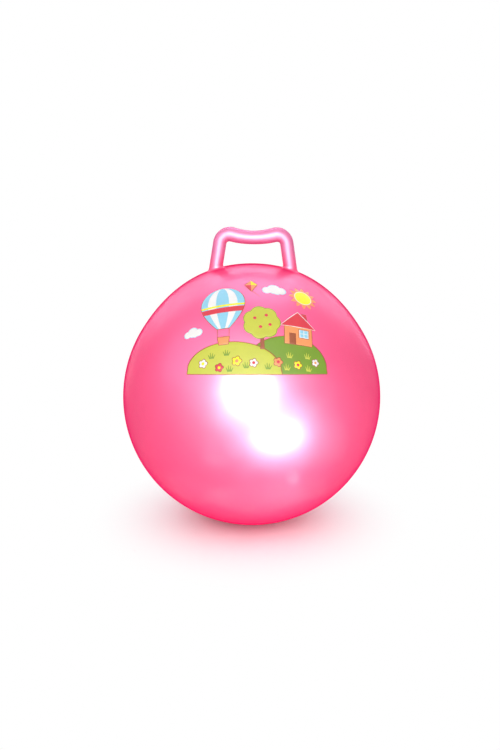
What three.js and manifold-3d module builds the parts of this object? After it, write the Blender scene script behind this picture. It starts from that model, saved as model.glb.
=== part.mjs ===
// A hopper ball: an inflated ball to sit and bounce on, with a moulded loop handle on its crown
// and an air valve on its back. Millimetres, +Z up. The origin is the middle of the patch that
// the ball stands on, and the front faces -Y.
import * as THREE from 'three';
import { mergeVertices } from 'three/addons/utils/BufferGeometryUtils.js';
import Module from 'manifold-3d';

const wasm = await Module();
wasm.setup();

// Ball: a sphere with its crown drawn up a little towards the handle, flattened underneath by its weight.
const BALL_DIAMETER = 450;
const SKIN_THICKNESS = 0.8;
const REST_PATCH_DIAMETER = 48;
const CROWN_RISE = 8;
const CROWN_TOP_ANGLE = 15; // degrees from the pole within which the crown has its full rise
const CROWN_END_ANGLE = 58; // degrees from the pole where the crown runs out into the sphere

// Handle: a hollow loop with two legs, a swollen hump at each corner and a bar that dips between the humps.
const GRIP_DIAMETER = 22.6;
const GRIP_WALL = 2.6;
const HUMP_SWELL = 0.9; // how much further the tube's surface stands out at the humps
const HANDLE_HEIGHT = 62.2; // crown to the top of the humps
const LEG_SPACING = 127.4; // between the legs' centre lines, where they meet the crown
const LEG_LEAN = 9; // degrees that each leg leans in
const BEND_RADIUS = 17; // of the centre line, at the corners
const GRIP_DIP = 5.2; // of the centre line, from the humps to the middle of the bar
const FOOT_FILLET = 6.5; // where a leg flares out on to the crown
const FOOT_RIM = 0.6; // thickness of the flare's edge
const FOOT_SINK = 16; // length of leg that is made past the crown and trimmed off by it

// Valve: a seat held in a hole of the skin by a lip and a flange, and a ribbed plug in its tapered bore.
const VALVE_LATITUDE = 20; // degrees above the ball's middle, on the back
const SEAT_DIAMETER = 27; // of the lip outside the skin and the flange inside it
const SEAT_LIP_HEIGHT = 2.4; // over the skin
const SEAT_NECK_DIAMETER = 18;
const SEAT_FLANGE_DEPTH = 4; // under the skin's outside
const SEAT_LENGTH = 21; // from the skin's outside to the bore's inner end
const BORE_MOUTH_DIAMETER = 11.2;
const BORE_END_DIAMETER = 9.6;
const DISH_DEPTH = 1.2; // of the recess in the lip that takes the plug's head
const PLUG_HEAD_DIAMETER = 18;
const PLUG_HEAD_THICKNESS = 2.2;
const PLUG_RIM_GAP = 0.8; // room for a nail round the head
const PLUG_LENGTH = 19; // of the shank, under the head
const PLUG_RIB_COUNT = 3;
const PLUG_RIB_PITCH = 4.6;
const PLUG_RIB_HEIGHT = 0.7;
const PLUG_NOSE_LENGTH = 3;
const PLUG_CORE_DIAMETER = 4.4;
const PLUG_CORE_DEPTH = 15; // of the blind hole that lets the shank give
const EDGE = 0.5; // chamfer on the valve's moulded edges

const CLEARANCE = 0.3; // between pieces that touch

// Facets
const BALL_SEGMENTS = 56;
const LOWER_STEPS = 14; // of the ball's outline, from the rest patch to its middle
const UPPER_STEPS = 16; // from its middle to the pole
const GRIP_SIDES = 20;
const BORE_SIDES = 12;
const BAR_STEPS = 8; // each way from the middle of the bar
const BEND_STEPS = 7;
const FLARE_STEPS = 14;
const VALVE_SEGMENTS = 24;

const ballRadius = BALL_DIAMETER / 2;
const gripRadius = GRIP_DIAMETER / 2;
const restPatchRadius = REST_PATCH_DIAMETER / 2;
const ballCentreZ = Math.sqrt(ballRadius ** 2 - restPatchRadius ** 2);
const crownTop = ballRadius + CROWN_RISE;
const radians = THREE.MathUtils.degToRad;

// Solids and meshes

function solidOf(geometry) {
  const bare = geometry.clone();
  bare.deleteAttribute('normal');
  bare.deleteAttribute('uv');
  const merged = mergeVertices(bare, 1e-4);
  const corners = merged.index.array;
  const faces = [];
  for (let i = 0; i < corners.length; i += 3) {
    const [a, b, c] = corners.slice(i, i + 3);
    if (a !== b && b !== c && c !== a) faces.push(a, b, c);
  }
  const mesh = new wasm.Mesh({
    numProp: 3,
    vertProperties: merged.attributes.position.array,
    triVerts: new Uint32Array(faces),
  });
  return new wasm.Manifold(mesh);
}

function geometryOf(solid) {
  const { vertProperties, triVerts } = solid.getMesh();
  const geometry = new THREE.BufferGeometry();
  geometry.setAttribute('position', new THREE.BufferAttribute(vertProperties, 3));
  geometry.setIndex(new THREE.BufferAttribute(triVerts, 1));
  geometry.computeVertexNormals();
  return geometry;
}

function namedMesh(name, solid, material) {
  const mesh = new THREE.Mesh(geometryOf(solid), material);
  mesh.name = name;
  return mesh;
}

// A closed tube through rings of points, each ring with as many points as the next.
function loft(rings) {
  const sides = rings[0].length;
  const points = rings.flat();
  const faces = [];
  for (let ring = 0; ring + 1 < rings.length; ring++) {
    for (let side = 0; side < sides; side++) {
      const a = ring * sides + side;
      const b = ring * sides + ((side + 1) % sides);
      faces.push(a, b + sides, b, a, a + sides, b + sides);
    }
  }
  for (let side = 1; side + 1 < sides; side++) {
    const last = (rings.length - 1) * sides;
    faces.push(0, side, side + 1, last, last + side + 1, last + side);
  }
  const geometry = new THREE.BufferGeometry().setFromPoints(points);
  geometry.setIndex(faces);
  return geometry;
}

// Ball, in a frame at its centre with +Z up

// Distance from the ball's centre to its outside at an angle in radians from the pole.
function outlineRadius(angle) {
  const top = radians(CROWN_TOP_ANGLE);
  const end = radians(CROWN_END_ANGLE);
  return ballRadius + CROWN_RISE * (1 - THREE.MathUtils.smoothstep(angle, top, end));
}

// Height of the crown over the ball's centre at a distance from the vertical axis.
function crownHeight(reach) {
  let angle = Math.asin(reach / ballRadius);
  for (let round = 0; round < 6; round++) angle = Math.asin(reach / outlineRadius(angle));
  return outlineRadius(angle) * Math.cos(angle);
}

// Points on the ball's outside, moved out by an offset, from one angle up to another.
function outlinePoints(fromAngle, toAngle, steps, offset) {
  const points = [];
  for (let step = 0; step < steps; step++) {
    const angle = THREE.MathUtils.lerp(fromAngle, toAngle, step / steps);
    const radius = outlineRadius(angle) + offset;
    points.push(new THREE.Vector2(radius * Math.sin(angle), radius * Math.cos(angle)));
  }
  return points;
}

// The solid inside the ball's outside, moved out by an offset.
function ballSolid(offset) {
  const restHeight = -ballCentreZ - offset;
  const restAngle = Math.acos(restHeight / (ballRadius + offset));
  const profile = [
    new THREE.Vector2(0, restHeight),
    ...outlinePoints(restAngle, Math.PI / 2, LOWER_STEPS, offset),
    ...outlinePoints(Math.PI / 2, 0, UPPER_STEPS, offset),
    new THREE.Vector2(0, crownTop + offset),
  ];
  return solidOf(new THREE.LatheGeometry(profile, BALL_SEGMENTS).rotateX(Math.PI / 2));
}

function ballSkin(ports, valveHole) {
  return ballSolid(0).subtract(ballSolid(-SKIN_THICKNESS)).subtract(ports).subtract(valveHole);
}

// Handle, in the ball's frame, in the plane Y = 0

const lean = radians(LEG_LEAN);
const foot = new THREE.Vector2(LEG_SPACING / 2, crownHeight(LEG_SPACING / 2));
const humpZ = crownTop + HANDLE_HEIGHT - gripRadius - HUMP_SWELL;
const legLength = (humpZ - BEND_RADIUS * (1 - Math.sin(lean)) - foot.y) / Math.cos(lean);
const legTop = new THREE.Vector2(foot.x - legLength * Math.sin(lean), foot.y + legLength * Math.cos(lean));
const bendCentre = new THREE.Vector2(legTop.x - BEND_RADIUS * Math.cos(lean), humpZ - BEND_RADIUS);

// The bar is an arc that runs into the bend's arc with no kink.
const barRadius = (bendCentre.x ** 2 + GRIP_DIP ** 2) / (2 * GRIP_DIP) - BEND_RADIUS;
const barHalfAngle = Math.asin(bendCentre.x / (barRadius + BEND_RADIUS));
const barCentre = new THREE.Vector2(0, humpZ - GRIP_DIP + barRadius);

// A point at an angle, clockwise from the top, on a circle in X and Z.
function onCircle(centre, radius, angle) {
  return new THREE.Vector2(centre.x + radius * Math.sin(angle), centre.y + radius * Math.cos(angle));
}

// The centre line from the middle of the bar to the end of the right leg, as points in X and Z.
function halfCentreLine() {
  const points = [];
  for (let step = 0; step < BAR_STEPS; step++) {
    points.push(onCircle(barCentre, barRadius, Math.PI - (barHalfAngle * step) / BAR_STEPS));
  }
  for (let step = 0; step <= BEND_STEPS; step++) {
    const angle = THREE.MathUtils.lerp(-barHalfAngle, Math.PI / 2 - lean, step / BEND_STEPS);
    points.push(onCircle(bendCentre, BEND_RADIUS, angle));
  }
  const flareReach = gripRadius + FOOT_FILLET;
  for (let step = 0; step <= FLARE_STEPS; step++) {
    const overFoot = THREE.MathUtils.lerp(flareReach, -FOOT_SINK, step / FLARE_STEPS);
    points.push(new THREE.Vector2(foot.x - overFoot * Math.sin(lean), foot.y + overFoot * Math.cos(lean)));
  }
  return points;
}

// How far the tube stands out past its plain radius: most at a hump, nothing in mid-bar or on the legs.
function humpSwell(x) {
  const reach = Math.abs(x);
  const rise = THREE.MathUtils.smoothstep(reach, 0, bendCentre.x);
  const fall = THREE.MathUtils.smoothstep(reach, bendCentre.x, legTop.x);
  return HUMP_SWELL * (rise - fall);
}

function wholeCentreLine() {
  const right = halfCentreLine();
  const left = right.slice(1).map((point) => new THREE.Vector2(-point.x, point.y));
  return [...left.reverse(), ...right];
}

// How far a leg's surface stands out from its tube at a height over the crown: a quarter-round flare.
function footFlare(height) {
  const left = FOOT_FILLET - THREE.MathUtils.clamp(height - FOOT_RIM, 0, FOOT_FILLET);
  return FOOT_FILLET - Math.sqrt(FOOT_FILLET ** 2 - left ** 2);
}

function heightOverCrown(point) {
  const angle = Math.acos(point.z / point.length());
  return point.length() - outlineRadius(angle);
}

// A tube along the handle's centre line, flared at its feet or not.
function gripTube(plainRadius, sides, flared) {
  const line = wholeCentreLine();
  const rings = line.map((centre, index) => {
    const before = line[Math.max(index - 1, 0)];
    const after = line[Math.min(index + 1, line.length - 1)];
    const along = after.clone().sub(before).normalize();
    const up = new THREE.Vector3(-along.y, 0, along.x);
    const radius = plainRadius + humpSwell(centre.x);
    const ring = [];
    for (let side = 0; side < sides; side++) {
      const turn = (2 * Math.PI * side) / sides;
      const out = up.clone().multiplyScalar(Math.cos(turn)).setY(Math.sin(turn));
      const point = new THREE.Vector3(centre.x, 0, centre.y).addScaledVector(out, radius);
      if (flared) point.addScaledVector(out, footFlare(heightOverCrown(point)));
      ring.push(point);
    }
    return ring;
  });
  return solidOf(loft(rings));
}

// Valve, in a frame on the skin's outside with +Y pointing out of the ball

function revolved(outline) {
  const points = outline.map(([radius, height]) => new THREE.Vector2(radius, height));
  return solidOf(new THREE.LatheGeometry(points, VALVE_SEGMENTS));
}

function boreRadius(height) {
  const depth = THREE.MathUtils.clamp(-height / SEAT_LENGTH, 0, 1);
  return THREE.MathUtils.lerp(BORE_MOUTH_DIAMETER, BORE_END_DIAMETER, depth) / 2;
}

const neckRadius = SEAT_NECK_DIAMETER / 2;
const dishFloor = SEAT_LIP_HEIGHT - DISH_DEPTH;

function neckCylinder(radius) {
  return new THREE.CylinderGeometry(radius, radius, 2 * SEAT_LENGTH, VALVE_SEGMENTS);
}

// The seat is turned in one piece, then grooved round its neck for the skin.
function valveSeat(valveMatrix) {
  const seatRadius = SEAT_DIAMETER / 2;
  const dishRadius = PLUG_HEAD_DIAMETER / 2 + PLUG_RIM_GAP;
  const turned = revolved([
    [boreRadius(-SEAT_LENGTH), -SEAT_LENGTH],
    [neckRadius - EDGE, -SEAT_LENGTH],
    [neckRadius, -SEAT_LENGTH + EDGE],
    [neckRadius, -SEAT_FLANGE_DEPTH],
    [seatRadius - EDGE, -SEAT_FLANGE_DEPTH],
    [seatRadius, -SEAT_FLANGE_DEPTH + EDGE],
    [seatRadius, SEAT_LIP_HEIGHT - 2 * EDGE],
    [seatRadius - 2 * EDGE, SEAT_LIP_HEIGHT],
    [dishRadius + EDGE, SEAT_LIP_HEIGHT],
    [dishRadius, SEAT_LIP_HEIGHT - EDGE],
    [dishRadius, dishFloor],
    [boreRadius(0), dishFloor],
    [boreRadius(0), 0],
    [boreRadius(-SEAT_LENGTH), -SEAT_LENGTH],
  ]);
  const skinRoom = ballSolid(CLEARANCE).subtract(ballSolid(-SKIN_THICKNESS - CLEARANCE));
  const roomHere = solidOf(geometryOf(skinRoom).applyMatrix4(valveMatrix.clone().invert()));
  const groove = roomHere.subtract(solidOf(neckCylinder(neckRadius)));
  return turned.subtract(groove);
}

function valvePlug() {
  const headRadius = PLUG_HEAD_DIAMETER / 2;
  const headBottom = dishFloor + CLEARANCE;
  const headTop = headBottom + PLUG_HEAD_THICKNESS;
  const tip = headBottom - PLUG_LENGTH;
  const noseTop = tip + PLUG_NOSE_LENGTH;
  const coreRadius = PLUG_CORE_DIAMETER / 2;
  const fitRadius = (height) => boreRadius(height) - CLEARANCE;
  const stemRadius = (height) => fitRadius(height) - PLUG_RIB_HEIGHT;
  const outline = [
    [0, tip + PLUG_CORE_DEPTH],
    [coreRadius, tip + PLUG_CORE_DEPTH],
    [coreRadius, tip],
    [stemRadius(tip) - PLUG_RIB_HEIGHT, tip],
  ];
  for (let rib = 0; rib < PLUG_RIB_COUNT; rib++) {
    const crest = noseTop + rib * PLUG_RIB_PITCH;
    outline.push([fitRadius(crest - EDGE), crest]);
    outline.push([fitRadius(crest - EDGE), crest + EDGE]);
    outline.push([stemRadius(crest), crest + 2 * EDGE]);
    if (rib + 1 < PLUG_RIB_COUNT) outline.push([stemRadius(crest), crest + PLUG_RIB_PITCH / 2]);
  }
  outline.push(
    [stemRadius(0), headBottom],
    [headRadius - EDGE, headBottom],
    [headRadius, headBottom + EDGE],
    [headRadius, headTop - 2 * EDGE],
    [headRadius - 2 * EDGE, headTop - EDGE / 2],
    [headRadius / 2, headTop],
    [0, headTop],
  );
  return revolved(outline);
}

// Assembly

const pinkVinyl = new THREE.MeshStandardMaterial({ color: 0xf9568c, roughness: 0.3, metalness: 0 });
const pinkHandleVinyl = new THREE.MeshStandardMaterial({ color: 0xf7679a, roughness: 0.28, metalness: 0 });
const pinkSeatVinyl = new THREE.MeshStandardMaterial({ color: 0xf04a82, roughness: 0.4, metalness: 0 });
const whitePlastic = new THREE.MeshStandardMaterial({ color: 0xf2f0ec, roughness: 0.45, metalness: 0 });

const hopperBall = new THREE.Group();
const ball = new THREE.Group();
ball.position.z = ballCentreZ;
hopperBall.add(ball);

const valve = new THREE.Group();
valve.rotation.x = radians(VALVE_LATITUDE);
valve.position.set(0, ballRadius, 0).applyEuler(valve.rotation);
valve.updateMatrix();
ball.add(valve);

const bore = gripTube(gripRadius - GRIP_WALL, BORE_SIDES, false);
const valveHole = solidOf(neckCylinder(neckRadius + CLEARANCE).applyMatrix4(valve.matrix));
const handle = gripTube(gripRadius, GRIP_SIDES, true).subtract(ballSolid(CLEARANCE)).subtract(bore);

ball.add(namedMesh('ball_skin', ballSkin(bore, valveHole), pinkVinyl));
ball.add(namedMesh('handle', handle, pinkHandleVinyl));
valve.add(namedMesh('valve_seat', valveSeat(valve.matrix), pinkSeatVinyl));
valve.add(namedMesh('valve_plug', valvePlug(), whitePlastic));

export default hopperBall;
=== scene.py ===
"""Looks of the hopper ball: smooth vinyl ball and loop handle, air valve and a printed decoration."""

import math

import bmesh
import bpy
from mathutils import Matrix, Vector


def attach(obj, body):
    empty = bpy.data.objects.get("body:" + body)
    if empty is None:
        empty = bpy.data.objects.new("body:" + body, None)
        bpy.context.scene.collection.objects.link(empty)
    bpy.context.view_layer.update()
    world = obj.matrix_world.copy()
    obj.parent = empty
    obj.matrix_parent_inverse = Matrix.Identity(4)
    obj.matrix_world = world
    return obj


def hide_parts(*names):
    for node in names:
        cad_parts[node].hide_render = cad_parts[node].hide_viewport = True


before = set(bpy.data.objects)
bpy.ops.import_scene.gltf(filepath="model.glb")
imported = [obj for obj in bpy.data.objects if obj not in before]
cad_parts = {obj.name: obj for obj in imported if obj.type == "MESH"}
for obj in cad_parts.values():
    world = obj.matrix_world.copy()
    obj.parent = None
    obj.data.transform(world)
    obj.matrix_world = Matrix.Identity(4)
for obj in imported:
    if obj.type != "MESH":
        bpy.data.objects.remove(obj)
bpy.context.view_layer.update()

MM = 0.001

# Ball, with the sizes of the CAD
BALL_RADIUS = 225 * MM
SKIN_THICKNESS = 0.8 * MM
REST_PATCH_RADIUS = 24 * MM
CROWN_RISE = 8 * MM
CROWN_TOP_ANGLE = math.radians(15)
CROWN_END_ANGLE = math.radians(58)
BALL_CENTRE = Vector((0, 0, math.sqrt(BALL_RADIUS ** 2 - REST_PATCH_RADIUS ** 2)))

# Handle, with the sizes of the CAD
GRIP_RADIUS = 11.3 * MM
HUMP_SWELL = 0.9 * MM
HANDLE_HEIGHT = 62.2 * MM
LEG_SPACING = 127.4 * MM
LEG_LEAN = math.radians(9)
BEND_RADIUS = 17 * MM
GRIP_DIP = 5.2 * MM
FOOT_FILLET = 6.5 * MM
# How many fillets a foot runs out from its leg to its edge, which dips under the skin
FOOT_SKIRT = 1.3

# Valve, with the sizes of the CAD
VALVE_LATITUDE = math.radians(20)
VALVE_AXIS = Vector((0, math.cos(VALVE_LATITUDE), math.sin(VALVE_LATITUDE)))
SEAT_RADIUS = 13.5 * MM
SEAT_LIP_HEIGHT = 2.4 * MM
SEAT_NECK_RADIUS = 9 * MM
SEAT_FLANGE_DEPTH = 4 * MM
SEAT_LENGTH = 21 * MM
BORE_MOUTH_RADIUS = 5.6 * MM
BORE_END_RADIUS = 4.8 * MM
DISH_DEPTH = 1.2 * MM
DISH_FLOOR = SEAT_LIP_HEIGHT - DISH_DEPTH
PLUG_HEAD_RADIUS = 9 * MM
PLUG_HEAD_THICKNESS = 2.2 * MM
PLUG_RIM_GAP = 0.8 * MM
PLUG_LENGTH = 19 * MM
PLUG_RIB_COUNT = 3
PLUG_RIB_PITCH = 4.6 * MM
PLUG_RIB_HEIGHT = 0.7 * MM
PLUG_NOSE_LENGTH = 3 * MM
PLUG_CORE_RADIUS = 2.2 * MM
PLUG_CORE_DEPTH = 15 * MM
EDGE = 0.5 * MM
CLEARANCE = 0.3 * MM
# Rounding of the corners that the CAD leaves sharp, and the most of an outline's side that one takes up
CORNER_FILLET = 0.45 * MM
CORNER_SHARE = 0.4

# Place of the print on the ball, and the thickness of one layer of ink
PRINT_LATITUDE = math.radians(44)
PRINT_TURN = math.radians(3)
PRINT_MIDDLE = Vector((math.sin(PRINT_TURN) * math.cos(PRINT_LATITUDE),
                       -math.cos(PRINT_TURN) * math.cos(PRINT_LATITUDE),
                       math.sin(PRINT_LATITUDE)))
PRINT_RIGHT = Vector((0, 0, 1)).cross(PRINT_MIDDLE).normalized()
PRINT_UP = PRINT_MIDDLE.cross(PRINT_RIGHT)
PRINT_LAYER = 0.06 * MM

# Layout of the print, in millimetres to the right of its middle and above it
PRINT_MESH_STEP = 5
KEY_LINE = 1.1
GROUND_MIDDLE = -80
GROUND_RISE = 12
GROUND_HALF_WIDTH = 112
# Share of its width that a stroke loses on the way to its end
STROKE_NARROWING = 0.7

# Camera, with the size of the picture and the place of the ball in it, in pixels
IMAGE_WIDTH = 500
IMAGE_HEIGHT = 750
BALL_PIXEL = (251.7, 396.5)
BALL_PIXEL_RADIUS = 128.6
CAMERA_ELEVATION = math.radians(15)
CAMERA_DISTANCE = 7 * BALL_RADIUS
CAMERA_ROLL = math.radians(-0.6)
CAMERA_SIDE = Vector((0, -math.cos(CAMERA_ELEVATION), math.sin(CAMERA_ELEVATION)))
SENSOR = 36

# Floor, with the distances from its middle at which its shade starts to fade into white and is gone
FLOOR_HALF_WIDTH = 6
SHADE_FADE_START = 0.06
SHADE_FADE_END = 0.3

# World, with its strength as light on surfaces and as the white that shows
WORLD_LIGHT = 0.86
WORLD_SEEN = 1.0

# Lamp in front of the ball
FRONT_DISTANCE = 1.5
FRONT_WIDTH = 0.9
FRONT_POWER = 4

# Pixels of the picture where the ball mirrors each of the other lamps
FLASH_PIXEL = (249, 390)
LOW_FLASH_PIXEL = (277, 434)
HAZE_PIXEL = (266, 418)
RIGHT_GLOW_PIXEL = (320, 448)
LOW_SHEEN_PIXEL = (218, 459)
STREAK_PIXEL = (291, 474)
LEFT_FLOOR_PIXEL = (205, 500)
MIDDLE_FLOOR_PIXEL = (257, 511)
RIGHT_FLOOR_PIXEL = (290, 500)
CEILING_PIXEL = (250, 278)
SKYLIGHT_PIXEL = (258, 301)
BACK_PIXEL = (252, 281)
LEFT_WALL_PIXEL = (190, 360)
LEFT_EDGE_PIXEL = (130, 375)
LEFT_RIM_PIXEL = (151, 323)
RIGHT_RIM_PIXEL = (353, 323)


# Meshes

def mesh_object(name, points, faces, material):
    mesh = bpy.data.meshes.new(name)
    mesh.from_pydata([tuple(p) for p in points], [], faces)
    mesh.shade_smooth()
    mesh.materials.append(material)
    obj = bpy.data.objects.new(name, mesh)
    bpy.context.scene.collection.objects.link(obj)
    return obj


def face_outwards(obj):
    """Turn every face of a closed mesh to the outside."""
    work = bmesh.new()
    work.from_mesh(obj.data)
    bmesh.ops.recalc_face_normals(work, faces=work.faces)
    work.to_mesh(obj.data)
    work.free()


def keep_flat(obj):
    """Let large faces alone decide the shading along the edges that they share with small ones."""
    largest_faces_only = 100
    normals = obj.modifiers.new("shading", "WEIGHTED_NORMAL")
    normals.weight = largest_faces_only


def ring_faces(rings, sides, start=0):
    """Quads between rings of points that each close on themselves."""
    faces = []
    for ring in range(rings - 1):
        for side in range(sides):
            a = start + ring * sides + side
            b = start + ring * sides + (side + 1) % sides
            faces.append((a, b, b + sides, a + sides))
    return faces


def fan_faces(centre, first, sides, flip=False):
    """Triangles from a ring of points to one point."""
    faces = []
    for side in range(sides):
        a = first + side
        b = first + (side + 1) % sides
        faces.append((centre, b, a) if flip else (centre, a, b))
    return faces


def smooth_step(value, low, high):
    """A share that eases from 0 at the low value to 1 at the high one."""
    t = min(max((value - low) / (high - low), 0), 1)
    return t * t * (3 - 2 * t)


# Ball

def outline_radius(angle):
    """Distance from the ball's centre to its outside, at an angle from the pole."""
    return BALL_RADIUS + CROWN_RISE * (1 - smooth_step(angle, CROWN_TOP_ANGLE, CROWN_END_ANGLE))


def on_ball(direction, lift=0):
    """The point of the ball's outside in a direction from its centre."""
    unit = direction.normalized()
    reach = outline_radius(math.acos(min(max(unit.z, -1), 1)))
    if unit.z * reach < -BALL_CENTRE.z:
        reach = -BALL_CENTRE.z / unit.z
    return BALL_CENTRE + unit * (reach + lift)


def make_ball(material):
    """Rings round the valve's axis, from the hole for the valve to the far side."""
    rings = 132
    sides = 264
    across = Vector((1, 0, 0))
    along = across.cross(VALVE_AXIS)
    hole_angle = math.asin((SEAT_NECK_RADIUS + CLEARANCE) / BALL_RADIUS)
    points = []
    for ring in range(rings):
        angle = hole_angle + (math.pi - hole_angle) * ring / rings
        for side in range(sides):
            turn = 2 * math.pi * side / sides
            sideways = across * math.cos(turn) + along * math.sin(turn)
            points.append(on_ball(VALVE_AXIS * math.cos(angle) + sideways * math.sin(angle)))
    points.append(on_ball(-VALVE_AXIS))
    faces = ring_faces(rings, sides)
    faces += fan_faces(len(points) - 1, (rings - 1) * sides, sides)
    ball = mesh_object("ball_vinyl", points, faces, material)
    wall = ball.modifiers.new("wall", "SOLIDIFY")
    wall.thickness = SKIN_THICKNESS
    wall.offset = -1
    return ball


# Handle, about the ball's centre, in the plane Y = 0

def crown_height(reach):
    """Height of the crown over the ball's centre, at a distance from the vertical axis."""
    rounds = 8
    angle = math.asin(reach / BALL_RADIUS)
    for _ in range(rounds):
        angle = math.asin(reach / outline_radius(angle))
    return outline_radius(angle) * math.cos(angle)


def bar_and_bend():
    """Centres, directions and radii of the rings from the middle of the bar to the top of the right leg."""
    bar_steps = 28
    bend_steps = 20
    foot_x = LEG_SPACING / 2
    hump_z = BALL_RADIUS + CROWN_RISE + HANDLE_HEIGHT - GRIP_RADIUS - HUMP_SWELL
    leg_top_z = hump_z - BEND_RADIUS * (1 - math.sin(LEG_LEAN))
    leg_top_x = foot_x - (leg_top_z - crown_height(foot_x)) * math.tan(LEG_LEAN)
    bend_centre = Vector((leg_top_x - BEND_RADIUS * math.cos(LEG_LEAN), 0, hump_z - BEND_RADIUS))
    bar_radius = (bend_centre.x ** 2 + GRIP_DIP ** 2) / (2 * GRIP_DIP) - BEND_RADIUS
    bar_centre = Vector((0, 0, hump_z - GRIP_DIP + bar_radius))
    bar_angle = math.asin(bend_centre.x / (bar_radius + BEND_RADIUS))
    line = []
    for step in range(bar_steps):
        angle = bar_angle * step / bar_steps
        down = Vector((math.sin(angle), 0, -math.cos(angle)))
        line.append((bar_centre + down * bar_radius, Vector((math.cos(angle), 0, math.sin(angle)))))
    for step in range(bend_steps + 1):
        angle = -bar_angle + (bar_angle + math.pi / 2 - LEG_LEAN) * step / bend_steps
        out = Vector((math.sin(angle), 0, math.cos(angle)))
        line.append((bend_centre + out * BEND_RADIUS, Vector((math.cos(angle), 0, -math.sin(angle)))))
    rings = []
    for centre, along in line:
        rise = smooth_step(centre.x, 0, bend_centre.x)
        fall = smooth_step(centre.x, bend_centre.x, leg_top_x)
        rings.append((centre, along, GRIP_RADIUS + HUMP_SWELL * (rise - fall)))
    return rings


def crown_meeting(start, direction):
    """Where a line going down meets the ball's outside, found by halving."""
    halvings = 40
    low = 0
    high = HANDLE_HEIGHT * 2
    for _ in range(halvings):
        middle = (low + high) / 2
        point = start + direction * middle - BALL_CENTRE
        above = point.length > outline_radius(math.acos(point.z / point.length))
        low, high = (middle, high) if above else (low, middle)
    return start + direction * low


def foot_rings(last_ring, leg_centre, leg_direction):
    """Rings down the leg and out along the crown: each side runs down a curve that is tangent to both."""
    leg_steps = 14
    flare_steps = 14
    columns = []
    for point in last_ring:
        out = (point - leg_centre).normalized()
        corner = crown_meeting(point, leg_direction)
        top = corner - leg_direction * FOOT_FILLET
        toe = on_ball(corner + out * FOOT_FILLET - BALL_CENTRE)
        sunk = on_ball(corner + out * FOOT_FILLET * FOOT_SKIRT - BALL_CENTRE, -SKIN_THICKNESS / 2)
        column = [point.lerp(top, step / leg_steps) for step in range(1, leg_steps)]
        for step in range(flare_steps + 1):
            t = step / flare_steps
            column.append(top.lerp(corner, t).lerp(corner.lerp(toe, t), t))
        columns.append(column + [sunk])
    return [list(ring) for ring in zip(*columns)]


def make_handle(material):
    """Rings from foot to foot: the right half, its mirror image, and a cap under each foot."""
    sides = 56
    across = Vector((0, -1, 0))
    line = bar_and_bend()
    right = []
    for centre, along, radius in line:
        up = Vector((-along.z, 0, along.x))
        ring = []
        for side in range(sides):
            turn = 2 * math.pi * side / sides
            ring.append(BALL_CENTRE + centre + (up * math.cos(turn) + across * math.sin(turn)) * radius)
        right.append(ring)
    leg_centre, leg_direction, _ = line[-1]
    right += foot_rings(right[-1], BALL_CENTRE + leg_centre, leg_direction)
    mirror = Matrix.Scale(-1, 3, (1, 0, 0))
    left = [[mirror @ point for point in ring] for ring in right[:0:-1]]
    rings = left + right
    points = [point for ring in rings for point in ring]
    faces = ring_faces(len(rings), sides)
    for first, flip in ((0, True), ((len(rings) - 1) * sides, False)):
        foot = sum(points[first:first + sides], Vector()) / sides
        points.append(on_ball(foot - BALL_CENTRE, -SKIN_THICKNESS / 2))
        faces += fan_faces(len(points) - 1, first, sides, flip)
    return mesh_object("handle_vinyl", points, faces, material)


# Valve, turned about an axis that points out of the ball

def softened(outline, closed):
    """An outline of radii and heights with its corners rounded off."""
    steps = 4
    corners = [Vector(corner) for corner in outline]
    soft = []
    for index, corner in enumerate(corners):
        if not closed and index in (0, len(corners) - 1):
            soft.append(corner)
            continue
        before = corners[index - 1] - corner
        after = corners[(index + 1) % len(corners)] - corner
        start = corner + before.normalized() * min(CORNER_FILLET, before.length * CORNER_SHARE)
        end = corner + after.normalized() * min(CORNER_FILLET, after.length * CORNER_SHARE)
        for step in range(steps + 1):
            t = step / steps
            soft.append(start.lerp(corner, t).lerp(corner.lerp(end, t), t))
    return soft


def turned(name, outline, closed, material):
    """A piece turned from an outline, which closes on itself or else starts and ends on the axis."""
    sides = 72
    across = Vector((1, 0, 0))
    along = VALVE_AXIS.cross(across)
    origin = BALL_CENTRE + VALVE_AXIS * BALL_RADIUS
    profile = softened(outline, closed)
    ends = [] if closed else [profile.pop(0), profile.pop()]
    points = []
    for radius, height in profile:
        for side in range(sides):
            turn = 2 * math.pi * side / sides
            sideways = across * math.cos(turn) + along * math.sin(turn)
            points.append(origin + VALVE_AXIS * height + sideways * radius)
    faces = ring_faces(len(profile), sides)
    last = (len(profile) - 1) * sides
    if closed:
        nexts = [(side + 1) % sides for side in range(sides)]
        faces += [(last + side, last + after, after, side) for side, after in enumerate(nexts)]
    else:
        points += [origin + VALVE_AXIS * end.y for end in ends]
        faces += fan_faces(last + sides, 0, sides)
        faces += fan_faces(last + sides + 1, last, sides, flip=True)
    piece = mesh_object(name, points, faces, material)
    face_outwards(piece)
    keep_flat(piece)
    return piece


def bore_radius(height):
    """Radius of the seat's tapered bore, at a height over the skin."""
    depth = min(max(-height / SEAT_LENGTH, 0), 1)
    return BORE_MOUTH_RADIUS + (BORE_END_RADIUS - BORE_MOUTH_RADIUS) * depth


def skin_height(radius):
    """Height of the skin's outside, which falls away from its point on the valve's axis."""
    return math.sqrt(BALL_RADIUS ** 2 - radius ** 2) - BALL_RADIUS


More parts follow.
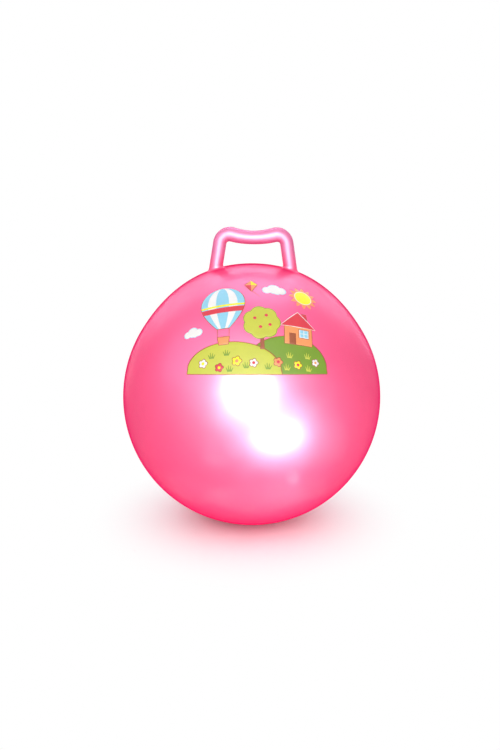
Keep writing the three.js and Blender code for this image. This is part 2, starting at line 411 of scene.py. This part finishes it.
def make_valve_seat(material):
    """A bush with a lip over the skin and a flange under it, and a dish for the plug's head."""
    dish_radius = PLUG_HEAD_RADIUS + PLUG_RIM_GAP
    under_skin = -SKIN_THICKNESS - CLEARANCE
    outline = [
        (BORE_END_RADIUS, -SEAT_LENGTH),
        (SEAT_NECK_RADIUS, -SEAT_LENGTH),
        (SEAT_NECK_RADIUS, -SEAT_FLANGE_DEPTH),
        (SEAT_RADIUS, -SEAT_FLANGE_DEPTH),
        (SEAT_RADIUS, skin_height(SEAT_RADIUS) + under_skin),
        (SEAT_NECK_RADIUS, skin_height(SEAT_NECK_RADIUS) + under_skin),
        (SEAT_NECK_RADIUS, skin_height(SEAT_NECK_RADIUS) + CLEARANCE / 2),
        (SEAT_RADIUS, skin_height(SEAT_RADIUS) + CLEARANCE / 2),
        (SEAT_RADIUS, SEAT_LIP_HEIGHT - 2 * EDGE),
        (SEAT_RADIUS - 2 * EDGE, SEAT_LIP_HEIGHT),
        (dish_radius, SEAT_LIP_HEIGHT),
        (dish_radius, DISH_FLOOR),
        (BORE_MOUTH_RADIUS, DISH_FLOOR),
        (BORE_MOUTH_RADIUS, 0),
    ]
    return turned("valve_seat_vinyl", outline, True, material)


def make_valve_plug(material):
    """A stopper with a domed head, a ribbed shank that tapers with the bore, and a blind hole."""
    head_bottom = DISH_FLOOR + CLEARANCE
    head_top = head_bottom + PLUG_HEAD_THICKNESS
    tip = head_bottom - PLUG_LENGTH
    outline = [
        (0, tip + PLUG_CORE_DEPTH),
        (PLUG_CORE_RADIUS, tip + PLUG_CORE_DEPTH),
        (PLUG_CORE_RADIUS, tip),
        (bore_radius(tip) - CLEARANCE - 2 * PLUG_RIB_HEIGHT, tip),
    ]
    for rib in range(PLUG_RIB_COUNT):
        crest = tip + PLUG_NOSE_LENGTH + rib * PLUG_RIB_PITCH
        fit_radius = bore_radius(crest) - CLEARANCE
        outline.append((fit_radius, crest))
        outline.append((fit_radius, crest + EDGE))
        outline.append((fit_radius - PLUG_RIB_HEIGHT, crest + 2 * EDGE))
        if rib + 1 < PLUG_RIB_COUNT:
            outline.append((fit_radius - PLUG_RIB_HEIGHT, crest + PLUG_RIB_PITCH / 2))
    outline += [
        (BORE_MOUTH_RADIUS - CLEARANCE - PLUG_RIB_HEIGHT, head_bottom),
        (PLUG_HEAD_RADIUS, head_bottom),
        (PLUG_HEAD_RADIUS, head_top - 2 * EDGE),
        (PLUG_HEAD_RADIUS - 2 * EDGE, head_top - EDGE / 2),
        (PLUG_HEAD_RADIUS / 2, head_top),
        (0, head_top),
    ]
    return turned("valve_plug_plastic", outline, False, material)


# Print: inks lie on the ball in thin layers, each ink as one mesh of points and faces

ink_meshes = {}


def on_print(place, layer):
    """The point on the ball at a place of the print, on top of a number of layers."""
    angle = place.length * MM / BALL_RADIUS
    if angle == 0:
        return on_ball(PRINT_MIDDLE, layer * PRINT_LAYER)
    sideways = (PRINT_RIGHT * place.x + PRINT_UP * place.y) / place.length
    return on_ball(PRINT_MIDDLE * math.cos(angle) + sideways * math.sin(angle), layer * PRINT_LAYER)


def print_patch(ink, layer, outline):
    """Ink inside an outline that is in view all round from its middle."""
    points, faces = ink_meshes.setdefault(ink, ([], []))
    middle = sum(outline, Vector((0, 0))) / len(outline)
    reach = max((place - middle).length for place in outline)
    rings = math.ceil(reach / PRINT_MESH_STEP)
    first = len(points)
    for ring in range(rings, 0, -1):
        points += [on_print(middle.lerp(place, ring / rings), layer) for place in outline]
    points.append(on_print(middle, layer))
    centre = len(points) - 1
    faces += ring_faces(rings, len(outline), first)
    faces += fan_faces(centre, centre - len(outline), len(outline))


def print_band(ink, layer, lower, upper):
    """Ink between two rows of places, which run the same way with as many places each."""
    points, faces = ink_meshes.setdefault(ink, ([], []))
    width = max((a - b).length for a, b in zip(lower, upper))
    rows = math.ceil(width / PRINT_MESH_STEP) + 1
    count = len(lower)
    first = len(points)
    for row in range(rows):
        points += [on_print(a.lerp(b, row / (rows - 1)), layer) for a, b in zip(lower, upper)]
    for row in range(rows - 1):
        for step in range(count - 1):
            a = first + row * count + step
            faces.append((a, a + 1, a + 1 + count, a + count))


def grown(outline, distance):
    """An outline with each place moved away from the middle."""
    middle = sum(outline, Vector((0, 0))) / len(outline)
    return [place + (place - middle).normalized() * distance for place in outline]


def print_keyed(ink, layer, outline, key="brown"):
    """A patch of ink with a thin line of another ink round it."""
    print_patch(key, layer, grown(outline, KEY_LINE))
    print_patch(ink, layer + 1, outline)


def round_outline(x, y, radius_at, steps):
    """An outline round a place, from a function of the angle that gives the distance."""
    outline = []
    for step in range(steps):
        angle = 2 * math.pi * step / steps
        reach = radius_at(angle)
        outline.append(Vector((x + reach * math.cos(angle), y + reach * math.sin(angle))))
    return outline


def disc(x, y, radius):
    return round_outline(x, y, lambda angle: radius, steps=36)


def straight_sided(*corners):
    """An outline with straight sides, given anticlockwise, with places along them to follow the ball."""
    outline = []
    for index, corner in enumerate(corners):
        start = Vector(corner)
        side = Vector(corners[(index + 1) % len(corners)]) - start
        steps = math.ceil(side.length / PRINT_MESH_STEP)
        outline += [start + side * step / steps for step in range(steps)]
    return outline


def upright(x, y, width, height):
    """A rectangle that stands on a place."""
    left = x - width / 2
    right = x + width / 2
    return straight_sided((left, y), (right, y), (right, y + height), (left, y + height))


def puffs_outline(x, y, puffs):
    """The outline of a heap of round puffs, each a place from the middle and a radius."""
    def reach(angle):
        direction = Vector((math.cos(angle), math.sin(angle)))
        best = 0
        for puff_x, puff_y, radius in puffs:
            puff = Vector((puff_x, puff_y))
            along = puff.dot(direction)
            inside = radius ** 2 - puff.length_squared + along ** 2
            if inside > 0:
                best = max(best, along + math.sqrt(inside))
        return best

    return round_outline(x, y, reach, steps=80)


def stroke(ink, layer, start, end, width):
    """A straight stroke of ink that narrows to its end."""
    start = Vector(start)
    end = Vector(end)
    side = (end - start).orthogonal().normalized() * width / 2
    steps = math.ceil((end - start).length / PRINT_MESH_STEP) + 1
    right = []
    left = []
    for step in range(steps + 1):
        t = step / steps
        offset = side * (1 - STROKE_NARROWING * t)
        right.append(start.lerp(end, t) - offset)
        left.append(start.lerp(end, t) + offset)
    print_band(ink, layer, right, left)


def ground_edge(x):
    """Height of the print's lower edge."""
    return GROUND_MIDDLE + GROUND_RISE * (x / GROUND_HALF_WIDTH) ** 2


def print_hill(ink, x, half_width, height, layer):
    """Half an oval that stands on the print's lower edge, with a thin line round it."""
    steps = 60

    def half_oval(band_ink, band_layer, margin):
        lower = []
        upper = []
        for step in range(steps + 1):
            share = -1 + 2 * step / steps
            band_x = x + (half_width + margin) * share
            rise = height * math.sqrt(1 - share ** 2)
            lower.append(Vector((band_x, ground_edge(band_x) - margin)))
            upper.append(Vector((band_x, ground_edge(band_x) + rise + margin)))
        print_band(band_ink, band_layer, lower, upper)

    half_oval("brown", layer, KEY_LINE)
    half_oval(ink, layer + 1, 0)


def print_envelope(x, y, radius, layer):
    """A balloon's pear-shaped envelope with stripes and a band, all measured in its radius."""
    steps = 24
    mouth_depth = 1.35
    mouth_narrowing = 0.72
    flank_bend = 1.7

    def half_width(height):
        if height > 0:
            return radius * math.sqrt(max(1 - (height / radius) ** 2, 0))
        share = -height / (mouth_depth * radius)
        return radius * (1 - mouth_narrowing * share ** flank_bend)

    def gore(ink, gore_layer, left_share=-1, right_share=1, low=-mouth_depth, high=1.0, margin=0):
        left = []
        right = []
        for step in range(steps + 1):
            t = (1 - math.cos(math.pi * step / steps)) / 2
            height = radius * (low + (high - low) * t)
            left.append(Vector((x + left_share * half_width(height) - margin, y + height)))
            right.append(Vector((x + right_share * half_width(height) + margin, y + height)))
        print_band(ink, gore_layer, right, left)

    gore("brown", layer, low=-1.38, high=1.03, margin=KEY_LINE)
    gore("sky_blue", layer + 1)
    gore("white", layer + 2, left_share=-0.68, right_share=-0.3)
    gore("white", layer + 2, left_share=0.3, right_share=0.68)
    gore("red", layer + 3, low=-0.5, high=-0.22)
    gore("yellow", layer + 3, low=-0.16, high=-0.06)


def print_balloon(x, y, radius, layer):
    """A hot-air balloon: ropes, a basket that narrows downwards, and the envelope."""
    rope_width = 1.3
    rope_lap = 1
    rope_top = y - 1.3 * radius
    rope_top_half = 0.27 * radius
    basket_top = y - 1.78 * radius
    basket_bottom = basket_top - 0.36 * radius
    basket_half = 0.26 * radius
    bottom_half = 0.8 * basket_half
    for side in (-1, 1):
        rope_start = (x + side * rope_top_half, rope_top)
        rope_end = (x + side * basket_half, basket_top - rope_lap)
        stroke("brown", layer, rope_start, rope_end, rope_width)
    basket = straight_sided((x - bottom_half, basket_bottom), (x + bottom_half, basket_bottom),
                            (x + basket_half, basket_top), (x - basket_half, basket_top))
    print_keyed("orange", layer, basket)
    print_envelope(x, y, radius, layer)


def print_sun(x, y, radius, layer):
    rays = 12
    steps_per_ray = 8
    ray_root = 1.15
    ray_length = 0.6

    def ray_reach(angle):
        wave = abs((angle * rays / (2 * math.pi)) % 1 - 0.5) * 2
        return radius * (ray_root + ray_length * wave)

    print_patch("orange", layer, round_outline(x, y, ray_reach, steps=rays * steps_per_ray))
    print_keyed("yellow", layer + 1, disc(x, y, radius), key="white")


def print_window(x, y, pane, layer):
    """A frame with two rows of two square panes."""
    border_width = 2.7 * pane
    border_height = 2.4 * pane
    pane_shift = 0.6 * pane
    print_keyed("white", layer, upright(x, y, border_width, border_height))
    for side in (-1, 1):
        for row_y in (y + 0.15 * pane, y + 1.3 * pane):
            print_patch("sky_blue", layer + 2, upright(x + side * pane_shift, row_y, pane, pane))


def print_house(x, y, width, layer):
    """A house with a gabled roof, a chimney, a door and a window."""
    overhang = 6
    roof_lap = 1
    wall_top = y + 0.72 * width
    eaves = wall_top - roof_lap
    eaves_half = width / 2 + overhang
    ridge = wall_top + 0.58 * width
    chimney_x = x + 0.24 * width
    chimney_width = 0.17 * width
    chimney_height = ridge - 2 - wall_top
    door_x = x - 0.22 * width
    door_width = 0.24 * width
    door_height = 0.42 * width
    window_x = x + 0.2 * width
    window_y = y + 0.28 * width
    pane = 0.13 * width
    print_keyed("red", layer, upright(chimney_x, wall_top, chimney_width, chimney_height))
    print_keyed("orange", layer, upright(x, y, width, wall_top - y))
    roof = straight_sided((x - eaves_half, eaves), (x + eaves_half, eaves), (x, ridge))
    print_keyed("red", layer + 2, roof, key="white")
    print_patch("brown", layer + 3, upright(door_x, y, door_width, door_height))
    print_window(window_x, window_y, pane, layer + 2)


def print_tree(x, y, height, layer):
    """A trunk that narrows upwards and a crown of puffs with fruit."""
    foot_half = 3.5
    fork_half = 2.4
    fork_y = y + 0.5 * height
    crown = 0.3 * height
    crown_y = y + 0.66 * height
    puff_count = 7
    puff_reach = crown * 0.75
    puff_radius = crown * 0.62
    fruit_radius = 2.6
    trunk = straight_sided((x - foot_half, y), (x + foot_half, y),
                           (x + fork_half, fork_y), (x - fork_half, fork_y))
    print_patch("brown", layer, trunk)
    puffs = []
    for step in range(puff_count):
        turn = 2 * math.pi * step / puff_count
        puffs.append((puff_reach * math.cos(turn), puff_reach * math.sin(turn), puff_radius))
    print_keyed("leaf_green", layer, puffs_outline(x, crown_y, puffs), key="dark_green")
    for fruit_x, fruit_y in ((-0.5, 0.35), (0.35, 0.6), (0.6, -0.2), (-0.1, -0.4)):
        print_patch("red", layer + 2, disc(x + fruit_x * crown, crown_y + fruit_y * crown, fruit_radius))


def print_cloud(x, y, width, layer):
    """A heap of puffs, whose places and radii are shares of the cloud's width."""
    shares = ((0, 0.02, 0.24), (-0.26, -0.05, 0.17), (0.27, -0.04, 0.18), (0.1, -0.1, 0.15))
    puffs = [[share * width for share in puff] for puff in shares]
    print_keyed("white", layer, puffs_outline(x, y, puffs), key="sky_blue")


def print_kite(x, y, height, layer):
    """A diamond of four panels with a tail."""
    tail_width = 1.2
    half = 0.36 * height
    top = y + 0.42 * height
    bottom = y - 0.58 * height
    stroke("brown", layer, (x, y - 0.5 * height), (x + 0.5 * height, y - 1.05 * height), tail_width)
    print_keyed("orange", layer, straight_sided((x, bottom), (x + half, y), (x, top), (x - half, y)))
    print_patch("yellow", layer + 2, straight_sided((x, y), (x + half, y), (x, top)))
    print_patch("red", layer + 2, straight_sided((x, bottom), (x, y), (x - half, y)))


def print_flower(ink, heart, x, y, radius, layer):
    petals = 5
    waist = 0.68
    petal = 0.32
    heart_radius = 0.36 * radius

    def petal_reach(angle):
        return radius * (waist + petal * abs(math.cos(petals * angle / 2)))

    print_keyed(ink, layer, round_outline(x, y, petal_reach, steps=60))
    print_patch(heart, layer + 2, disc(x, y, heart_radius))


def print_tuft(ink, x, y, layer):
    """Blades of grass, each with the sideways reach of its tip and its height."""
    blade_width = 2.2
    root_share = 0.4
    for lean, height in ((-5, 7), (-1.5, 10), (2.5, 9), (6, 6)):
        stroke(ink, layer, (x + lean * root_share, y), (x + lean, y + height), blade_width)


def print_design():
    """Hills with a house, a tree, flowers and grass, and a balloon, a sun, clouds and a kite above them."""
    print_hill("dark_green", x=44, half_width=70, height=62, layer=1)
    print_hill("leaf_green", x=-40, half_width=76, height=52, layer=3)
    print_house(x=64, y=-28, width=45, layer=3)
    print_tree(x=6, y=-40, height=70, layer=5)
    print_balloon(x=-54, y=46, radius=35, layer=5)
    print_sun(x=76, y=66, radius=14, layer=1)
    print_cloud(x=28, y=74, width=42, layer=1)
    print_cloud(x=-104, y=2, width=34, layer=1)
    print_kite(x=-8, y=84, height=27, layer=1)
    for ink, heart, x, y, radius in (
            ("white", "yellow", -88, -56, 7),
            ("red", "yellow", -62, -66, 6.5),
            ("yellow", "orange", -34, -58, 7.5),
            ("white", "red", -8, -62, 6.5),
            ("orange", "red", 30, -60, 7),
            ("yellow", "red", 62, -62, 6.5),
            ("white", "orange", 92, -54, 6)):
        print_flower(ink, heart, x, y, radius, layer=6)
    for x, y in ((-74, -50), (-50, -48), (-20, -70), (-46, -74), (14, -72)):
        print_tuft("dark_green", x, y, layer=5)
    for x, y in ((48, -52), (78, -50), (44, -72), (80, -70)):
        print_tuft("leaf_green", x, y, layer=5)


def make_print():
    """One closed film of ink for each colour, with its back sunk in the skin."""
    print_design()
    films = []
    for ink, (points, faces) in ink_meshes.items():
        film = mesh_object("print_" + ink, points, faces, ink_material(ink, INKS[ink]))
        wall = film.modifiers.new("film", "SOLIDIFY")
        wall.thickness = SKIN_THICKNESS
        wall.offset = -1
        keep_flat(film)
        films.append(film)
    return films


# Materials

def linear(red, green, blue):
    """A colour given in sRGB from 0 to 255, for a shader."""
    shares = [channel / 255 for channel in (red, green, blue)]
    return (*[c / 12.92 if c <= 0.04045 else ((c + 0.055) / 1.055) ** 2.4 for c in shares], 1)


PINK = linear(248, 50, 115)
HANDLE_PINK = linear(218, 84, 136)
SEAT_PINK = linear(238, 48, 104)
PLUG_WHITE = linear(242, 240, 236)
PEARL = linear(235, 223, 255)
PAPER = (0.96, 0.96, 0.96, 1)
WHITE = (1, 1, 1, 1)
INKS = {
    "sky_blue": linear(150, 214, 238),
    "white": linear(246, 245, 242),
    "leaf_green": linear(205, 208, 66),
    "dark_green": linear(122, 158, 36),
    "yellow": linear(253, 246, 30),
    "orange": linear(252, 158, 96),
    "brown": linear(164, 84, 46),
    "red": linear(226, 58, 72),
}

# Gloss of the vinyl under its coat, and how far its roughness strays each way
BODY_GLOSS = 0.82
ROUGHNESS_STRAY = 0.05
# Where the gloss starts to fade and where it is gone, from 0 for straight on to 1 for the very edge
GLOSS_FADE_START = 0.05
GLOSS_FADE_END = 0.87
# Values that most of a noise lies between
NOISE_LOW = 0.3
NOISE_HIGH = 0.7


def new_material(name):
    material = bpy.data.materials.new(name)
    material.use_nodes = True
    shader = material.node_tree.nodes["Principled BSDF"]
    return material, material.node_tree, shader


def set_inputs(tree, node, **inputs):
    """Give a node's inputs, by name, a value or another node's output."""
    for key, value in inputs.items():
        socket = node.inputs[key.replace("_", " ")]
        if isinstance(value, bpy.types.NodeSocket):
            tree.links.new(value, socket)
        else:
            socket.default_value = value


def add_node(tree, kind, settings=None, **inputs):
    """A new node with its settings and inputs."""
    node = tree.nodes.new(kind)
    for key, value in (settings or {}).items():
        setattr(node, key, value)
    set_inputs(tree, node, **inputs)
    return node


def noise(tree, scale, detail=2, roughness=0.5):
    """Noise over the object, in cells per metre."""
    place = add_node(tree, "ShaderNodeTexCoord").outputs["Object"]
    node = add_node(tree, "ShaderNodeTexNoise", Vector=place, Scale=scale, Detail=detail,
                    Roughness=roughness)
    return node.outputs["Fac"]


def spread(tree, value, low, high):
    """A noise value spread from one number to another."""
    node = add_node(tree, "ShaderNodeMapRange", Value=value, From_Min=NOISE_LOW, From_Max=NOISE_HIGH,
                    To_Min=low, To_Max=high)
    return node.outputs["Result"]


def shaded(tree, colour, value, low, high):
    """A colour made lighter and darker by a noise value."""
    factor = spread(tree, value, low, high)
    node = add_node(tree, "ShaderNodeHueSaturation", Value=factor, Color=colour)
    return node.outputs["Color"]


def bumpy(tree, scale, strength, distance):
    """A surface made uneven by noise."""
    node = add_node(tree, "ShaderNodeBump", Height=noise(tree, scale), Strength=strength, Distance=distance)
    return node.outputs["Normal"]


def fading_gloss(tree, most):
    """Gloss that is strongest where the surface is seen straight on and gone at its very edge."""
    weight = add_node(tree, "ShaderNodeLayerWeight", Blend=0.5).outputs["Facing"]
    node = add_node(tree, "ShaderNodeMapRange", {"interpolation_type": "SMOOTHSTEP"}, Value=weight,
                    From_Min=GLOSS_FADE_START, From_Max=GLOSS_FADE_END, To_Min=most, To_Max=0)
    return node.outputs["Result"]


def turning_upwards(tree, low_colour, high_colour, low, high):
    """One colour that turns into another between two heights."""
    place = add_node(tree, "ShaderNodeTexCoord").outputs["Object"]
    height = add_node(tree, "ShaderNodeSeparateXYZ", Vector=place).outputs["Z"]
    share = add_node(tree, "ShaderNodeMapRange", Value=height, From_Min=low, From_Max=high).outputs["Result"]
    node = add_node(tree, "ShaderNodeMixRGB", Fac=share, Color1=low_colour, Color2=high_colour)
    return node.outputs["Color"]


def vinyl(name, colour, roughness, coat, coat_roughness, colour_above=None, heights=None):
    """Pearly soft vinyl: cloudy colour with fine mica, a satin body under a gloss that fades at the edge."""
    material, tree, shader = new_material(name)
    if colour_above:
        colour = turning_upwards(tree, colour, colour_above, *heights)
    cloudy = shaded(tree, colour, noise(tree, scale=9, detail=3), low=0.95, high=1.03)
    pearly = shaded(tree, cloudy, noise(tree, scale=900, detail=1), low=0.96, high=1.04)
    rubbed = noise(tree, scale=38, detail=4, roughness=0.65)
    uneven = spread(tree, rubbed, low=roughness - ROUGHNESS_STRAY, high=roughness + ROUGHNESS_STRAY)
    peel = bumpy(tree, scale=190, strength=0.05, distance=0.4 * MM)
    set_inputs(tree, shader, Base_Color=pearly, Roughness=uneven, Specular_Tint=PEARL, Normal=peel,
               Specular_IOR_Level=fading_gloss(tree, BODY_GLOSS), Coat_Weight=fading_gloss(tree, coat),
               Coat_Roughness=coat_roughness)
    return material


def plug_plastic():
    """White moulded plastic with faint flow marks and a fine satin grain."""
    material, tree, shader = new_material("plug_plastic")
    marked = shaded(tree, PLUG_WHITE, noise(tree, scale=120, detail=3), low=0.96, high=1.02)
    satin = spread(tree, noise(tree, scale=400), low=0.36, high=0.5)
    grain = bumpy(tree, scale=2500, strength=0.08, distance=0.1 * MM)
    set_inputs(tree, shader, Base_Color=marked, Roughness=satin, Normal=grain)
    return material


def ink_material(ink, colour):
    """Screen-printed ink: even colour with a fine grain, a little thinner here and there."""
    material, tree, shader = new_material("ink_" + ink)
    cloudy = shaded(tree, colour, noise(tree, scale=60, detail=3), low=0.96, high=1.02)
    grainy = shaded(tree, cloudy, noise(tree, scale=1300, detail=1), low=0.95, high=1.03)
    dull = spread(tree, noise(tree, scale=220, detail=3), low=0.52, high=0.66)
    mesh_marks = bumpy(tree, scale=1300, strength=0.06, distance=0.1 * MM)
    set_inputs(tree, shader, Base_Color=grainy, Roughness=dull, Specular_IOR_Level=0.15, Normal=mesh_marks)
    return material


# Stage, camera and light

def make_camera():
    """A camera that sees the ball where the picture has it."""
    data = bpy.data.cameras.new("camera")
    data.sensor_width = SENSOR
    tangent = math.tan(math.asin(BALL_RADIUS / CAMERA_DISTANCE))
    data.lens = BALL_PIXEL_RADIUS / tangent * SENSOR / IMAGE_HEIGHT
    data.shift_x = (IMAGE_WIDTH / 2 - BALL_PIXEL[0]) / IMAGE_HEIGHT
    data.shift_y = (BALL_PIXEL[1] - IMAGE_HEIGHT / 2) / IMAGE_HEIGHT
    camera = bpy.data.objects.new("camera", data)
    bpy.context.scene.collection.objects.link(camera)
    camera.location = BALL_CENTRE + CAMERA_SIDE * CAMERA_DISTANCE
    turn = CAMERA_SIDE.to_track_quat("Z", "Y").to_matrix()
    camera.rotation_euler = (turn @ Matrix.Rotation(-CAMERA_ROLL, 3, "Z")).to_euler()
    bpy.context.scene.camera = camera


def seen_directly(tree):
    """1 for rays that show the background: from the camera, or by reflection or through something clear."""
    path = add_node(tree, "ShaderNodeLightPath").outputs
    seen = path["Is Camera Ray"]
    for kind in ("Is Glossy Ray", "Is Transmission Ray"):
        either = add_node(tree, "ShaderNodeMath", {"operation": "MAXIMUM"})
        tree.links.new(seen, either.inputs[0])
        tree.links.new(path[kind], either.inputs[1])
        seen = either.outputs[0]
    return seen


def make_world():
    """A white world that lights a little less strongly than it shows."""
    world = bpy.data.worlds.new("studio")
    bpy.context.scene.world = world
    world.use_nodes = True
    tree = world.node_tree
    strength = add_node(tree, "ShaderNodeMapRange", Value=seen_directly(tree), To_Min=WORLD_LIGHT,
                        To_Max=WORLD_SEEN)
    set_inputs(tree, tree.nodes["Background"], Color=WHITE, Strength=strength.outputs["Result"])


def floor_paper():
    """White paper that takes the ball's shadow and runs out into the white background."""
    material, tree, shader = new_material("floor_paper")
    paper = shaded(tree, PAPER, noise(tree, scale=300, detail=3), low=0.98, high=1.01)
    set_inputs(tree, shader, Base_Color=paper, Roughness=0.8, Specular_IOR_Level=0.1)
    place = add_node(tree, "ShaderNodeTexCoord").outputs["Object"]
    reach = add_node(tree, "ShaderNodeVectorMath", {"operation": "LENGTH"}, Vector=place).outputs["Value"]
    fade = add_node(tree, "ShaderNodeMapRange", {"interpolation_type": "SMOOTHSTEP"}, Value=reach,
                    From_Min=SHADE_FADE_START, From_Max=SHADE_FADE_END)
    share = add_node(tree, "ShaderNodeMath", {"operation": "MULTIPLY"})
    tree.links.new(fade.outputs["Result"], share.inputs[0])
    tree.links.new(seen_directly(tree), share.inputs[1])
    white = add_node(tree, "ShaderNodeEmission", Color=WHITE, Strength=1)
    mix = add_node(tree, "ShaderNodeMixShader", Fac=share.outputs[0])
    tree.links.new(shader.outputs["BSDF"], mix.inputs[1])
    tree.links.new(white.outputs["Emission"], mix.inputs[2])
    tree.links.new(mix.outputs["Shader"], tree.nodes["Material Output"].inputs["Surface"])
    return material


def make_floor():
    half = FLOOR_HALF_WIDTH
    points = [(-half, -half, 0), (half, -half, 0), (half, half, 0), (-half, half, 0)]
    floor = mesh_object("floor", points, [(0, 1, 2, 3)], floor_paper())


def area_lamp(name, location, width, height, power):
    """An oval lamp that faces the ball and doesn't show in the picture."""
    data = bpy.data.lights.new(name, "AREA")
    data.shape = "ELLIPSE"
    data.size = width
    data.size_y = height
    data.energy = power
    lamp = bpy.data.objects.new(name, data)
    bpy.context.scene.collection.objects.link(lamp)
    lamp.location = location
    lamp.rotation_euler = (Vector(location) - BALL_CENTRE).to_track_quat("Z", "Y").to_euler()
    lamp.visible_camera = False
    return lamp


def mirrored_in_ball(pixel_x, pixel_y, distance):
    """A place that the camera, taken as far away, sees mirrored at a pixel, at a distance from the ball."""
    right = Vector((1, 0, 0))
    up = CAMERA_SIDE.cross(right)
    across = (right * (pixel_x - BALL_PIXEL[0]) - up * (pixel_y - BALL_PIXEL[1])) / BALL_PIXEL_RADIUS
    normal = across + CAMERA_SIDE * math.sqrt(1 - across.length_squared)
    mirrored = normal * 2 * normal.dot(CAMERA_SIDE) - CAMERA_SIDE
    return BALL_CENTRE + normal * BALL_RADIUS + mirrored * distance


WHITE_LIGHT = (1, 1, 1)
LILAC_LIGHT = (1, 0.88, 1.2)


def gloss_lamp(name, pixel, distance, tall, wide, radiance, colour=WHITE_LIGHT):
    """An oval that only gloss shows: half its height and half its width are angles seen from the ball."""
    half_height = distance * math.tan(math.radians(tall))
    half_width = distance * math.tan(math.radians(wide))
    area = math.pi * half_height * half_width
    power = radiance * math.pi * area
    lamp = area_lamp(name, mirrored_in_ball(*pixel, distance), 2 * half_width, 2 * half_height, power)
    lamp.data.color = colour
    lamp.visible_diffuse = False


def lilac_lamp(name, pixel, **sizes):
    gloss_lamp(name, pixel, colour=LILAC_LIGHT, **sizes)


def make_lamps():
    """One lamp lights the front, and the others are the bright places of a room that the gloss shows."""
    area_lamp("front", BALL_CENTRE + CAMERA_SIDE * FRONT_DISTANCE, FRONT_WIDTH, FRONT_WIDTH, FRONT_POWER)
    gloss_lamp("flash", FLASH_PIXEL, distance=1.3, tall=23, wide=24, radiance=45)
    gloss_lamp("low_flash", LOW_FLASH_PIXEL, distance=0.22, tall=20, wide=31, radiance=37)
    gloss_lamp("haze", HAZE_PIXEL, distance=1.0, tall=16, wide=48, radiance=6)
    gloss_lamp("right_glow", RIGHT_GLOW_PIXEL, distance=0.22, tall=34, wide=34, radiance=2)
    gloss_lamp("low_sheen", LOW_SHEEN_PIXEL, distance=0.25, tall=10, wide=14, radiance=6)
    gloss_lamp("left_edge", LEFT_EDGE_PIXEL, distance=0.8, tall=8, wide=3, radiance=8)
    gloss_lamp("streak", STREAK_PIXEL, distance=0.15, tall=11, wide=6, radiance=17)
    gloss_lamp("left_floor", LEFT_FLOOR_PIXEL, distance=0.09, tall=50, wide=50, radiance=0.8)
    gloss_lamp("middle_floor", MIDDLE_FLOOR_PIXEL, distance=0.07, tall=63, wide=63, radiance=1.8)
    gloss_lamp("right_floor", RIGHT_FLOOR_PIXEL, distance=0.09, tall=50, wide=50, radiance=1.2)
    lilac_lamp("ceiling", CEILING_PIXEL, distance=1.2, tall=31, wide=50, radiance=3.6)
    lilac_lamp("skylight", SKYLIGHT_PIXEL, distance=1.2, tall=19, wide=24, radiance=5)
    lilac_lamp("back", BACK_PIXEL, distance=1.0, tall=8, wide=24, radiance=9)
    lilac_lamp("left_wall", LEFT_WALL_PIXEL, distance=1.2, tall=26, wide=26, radiance=2.4)
    lilac_lamp("left_rim", LEFT_RIM_PIXEL, distance=1.0, tall=13, wide=13, radiance=5)
    lilac_lamp("right_rim", RIGHT_RIM_PIXEL, distance=1.0, tall=13, wide=13, radiance=5.6)


bpy.context.scene.view_settings.view_transform = "Standard"

ball = make_ball(vinyl("ball_vinyl", PINK, roughness=0.52, coat=0.52, coat_roughness=0.26))
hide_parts("ball_skin")
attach(ball, "ball")

leg_heights = (BALL_CENTRE.z + BALL_RADIUS, BALL_CENTRE.z + BALL_RADIUS + HANDLE_HEIGHT / 2)
handle = make_handle(vinyl("handle_vinyl", PINK, roughness=0.58, coat=0.4, coat_roughness=0.45,
                           colour_above=HANDLE_PINK, heights=leg_heights))
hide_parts("handle")
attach(handle, "ball")

seat = make_valve_seat(vinyl("seat_vinyl", SEAT_PINK, roughness=0.5, coat=0.4, coat_roughness=0.35))
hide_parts("valve_seat")
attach(seat, "ball")

plug = make_valve_plug(plug_plastic())
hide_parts("valve_plug")
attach(plug, "plug")

for film in make_print():
    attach(film, "ball")

make_floor()
make_world()
make_camera()
make_lamps()
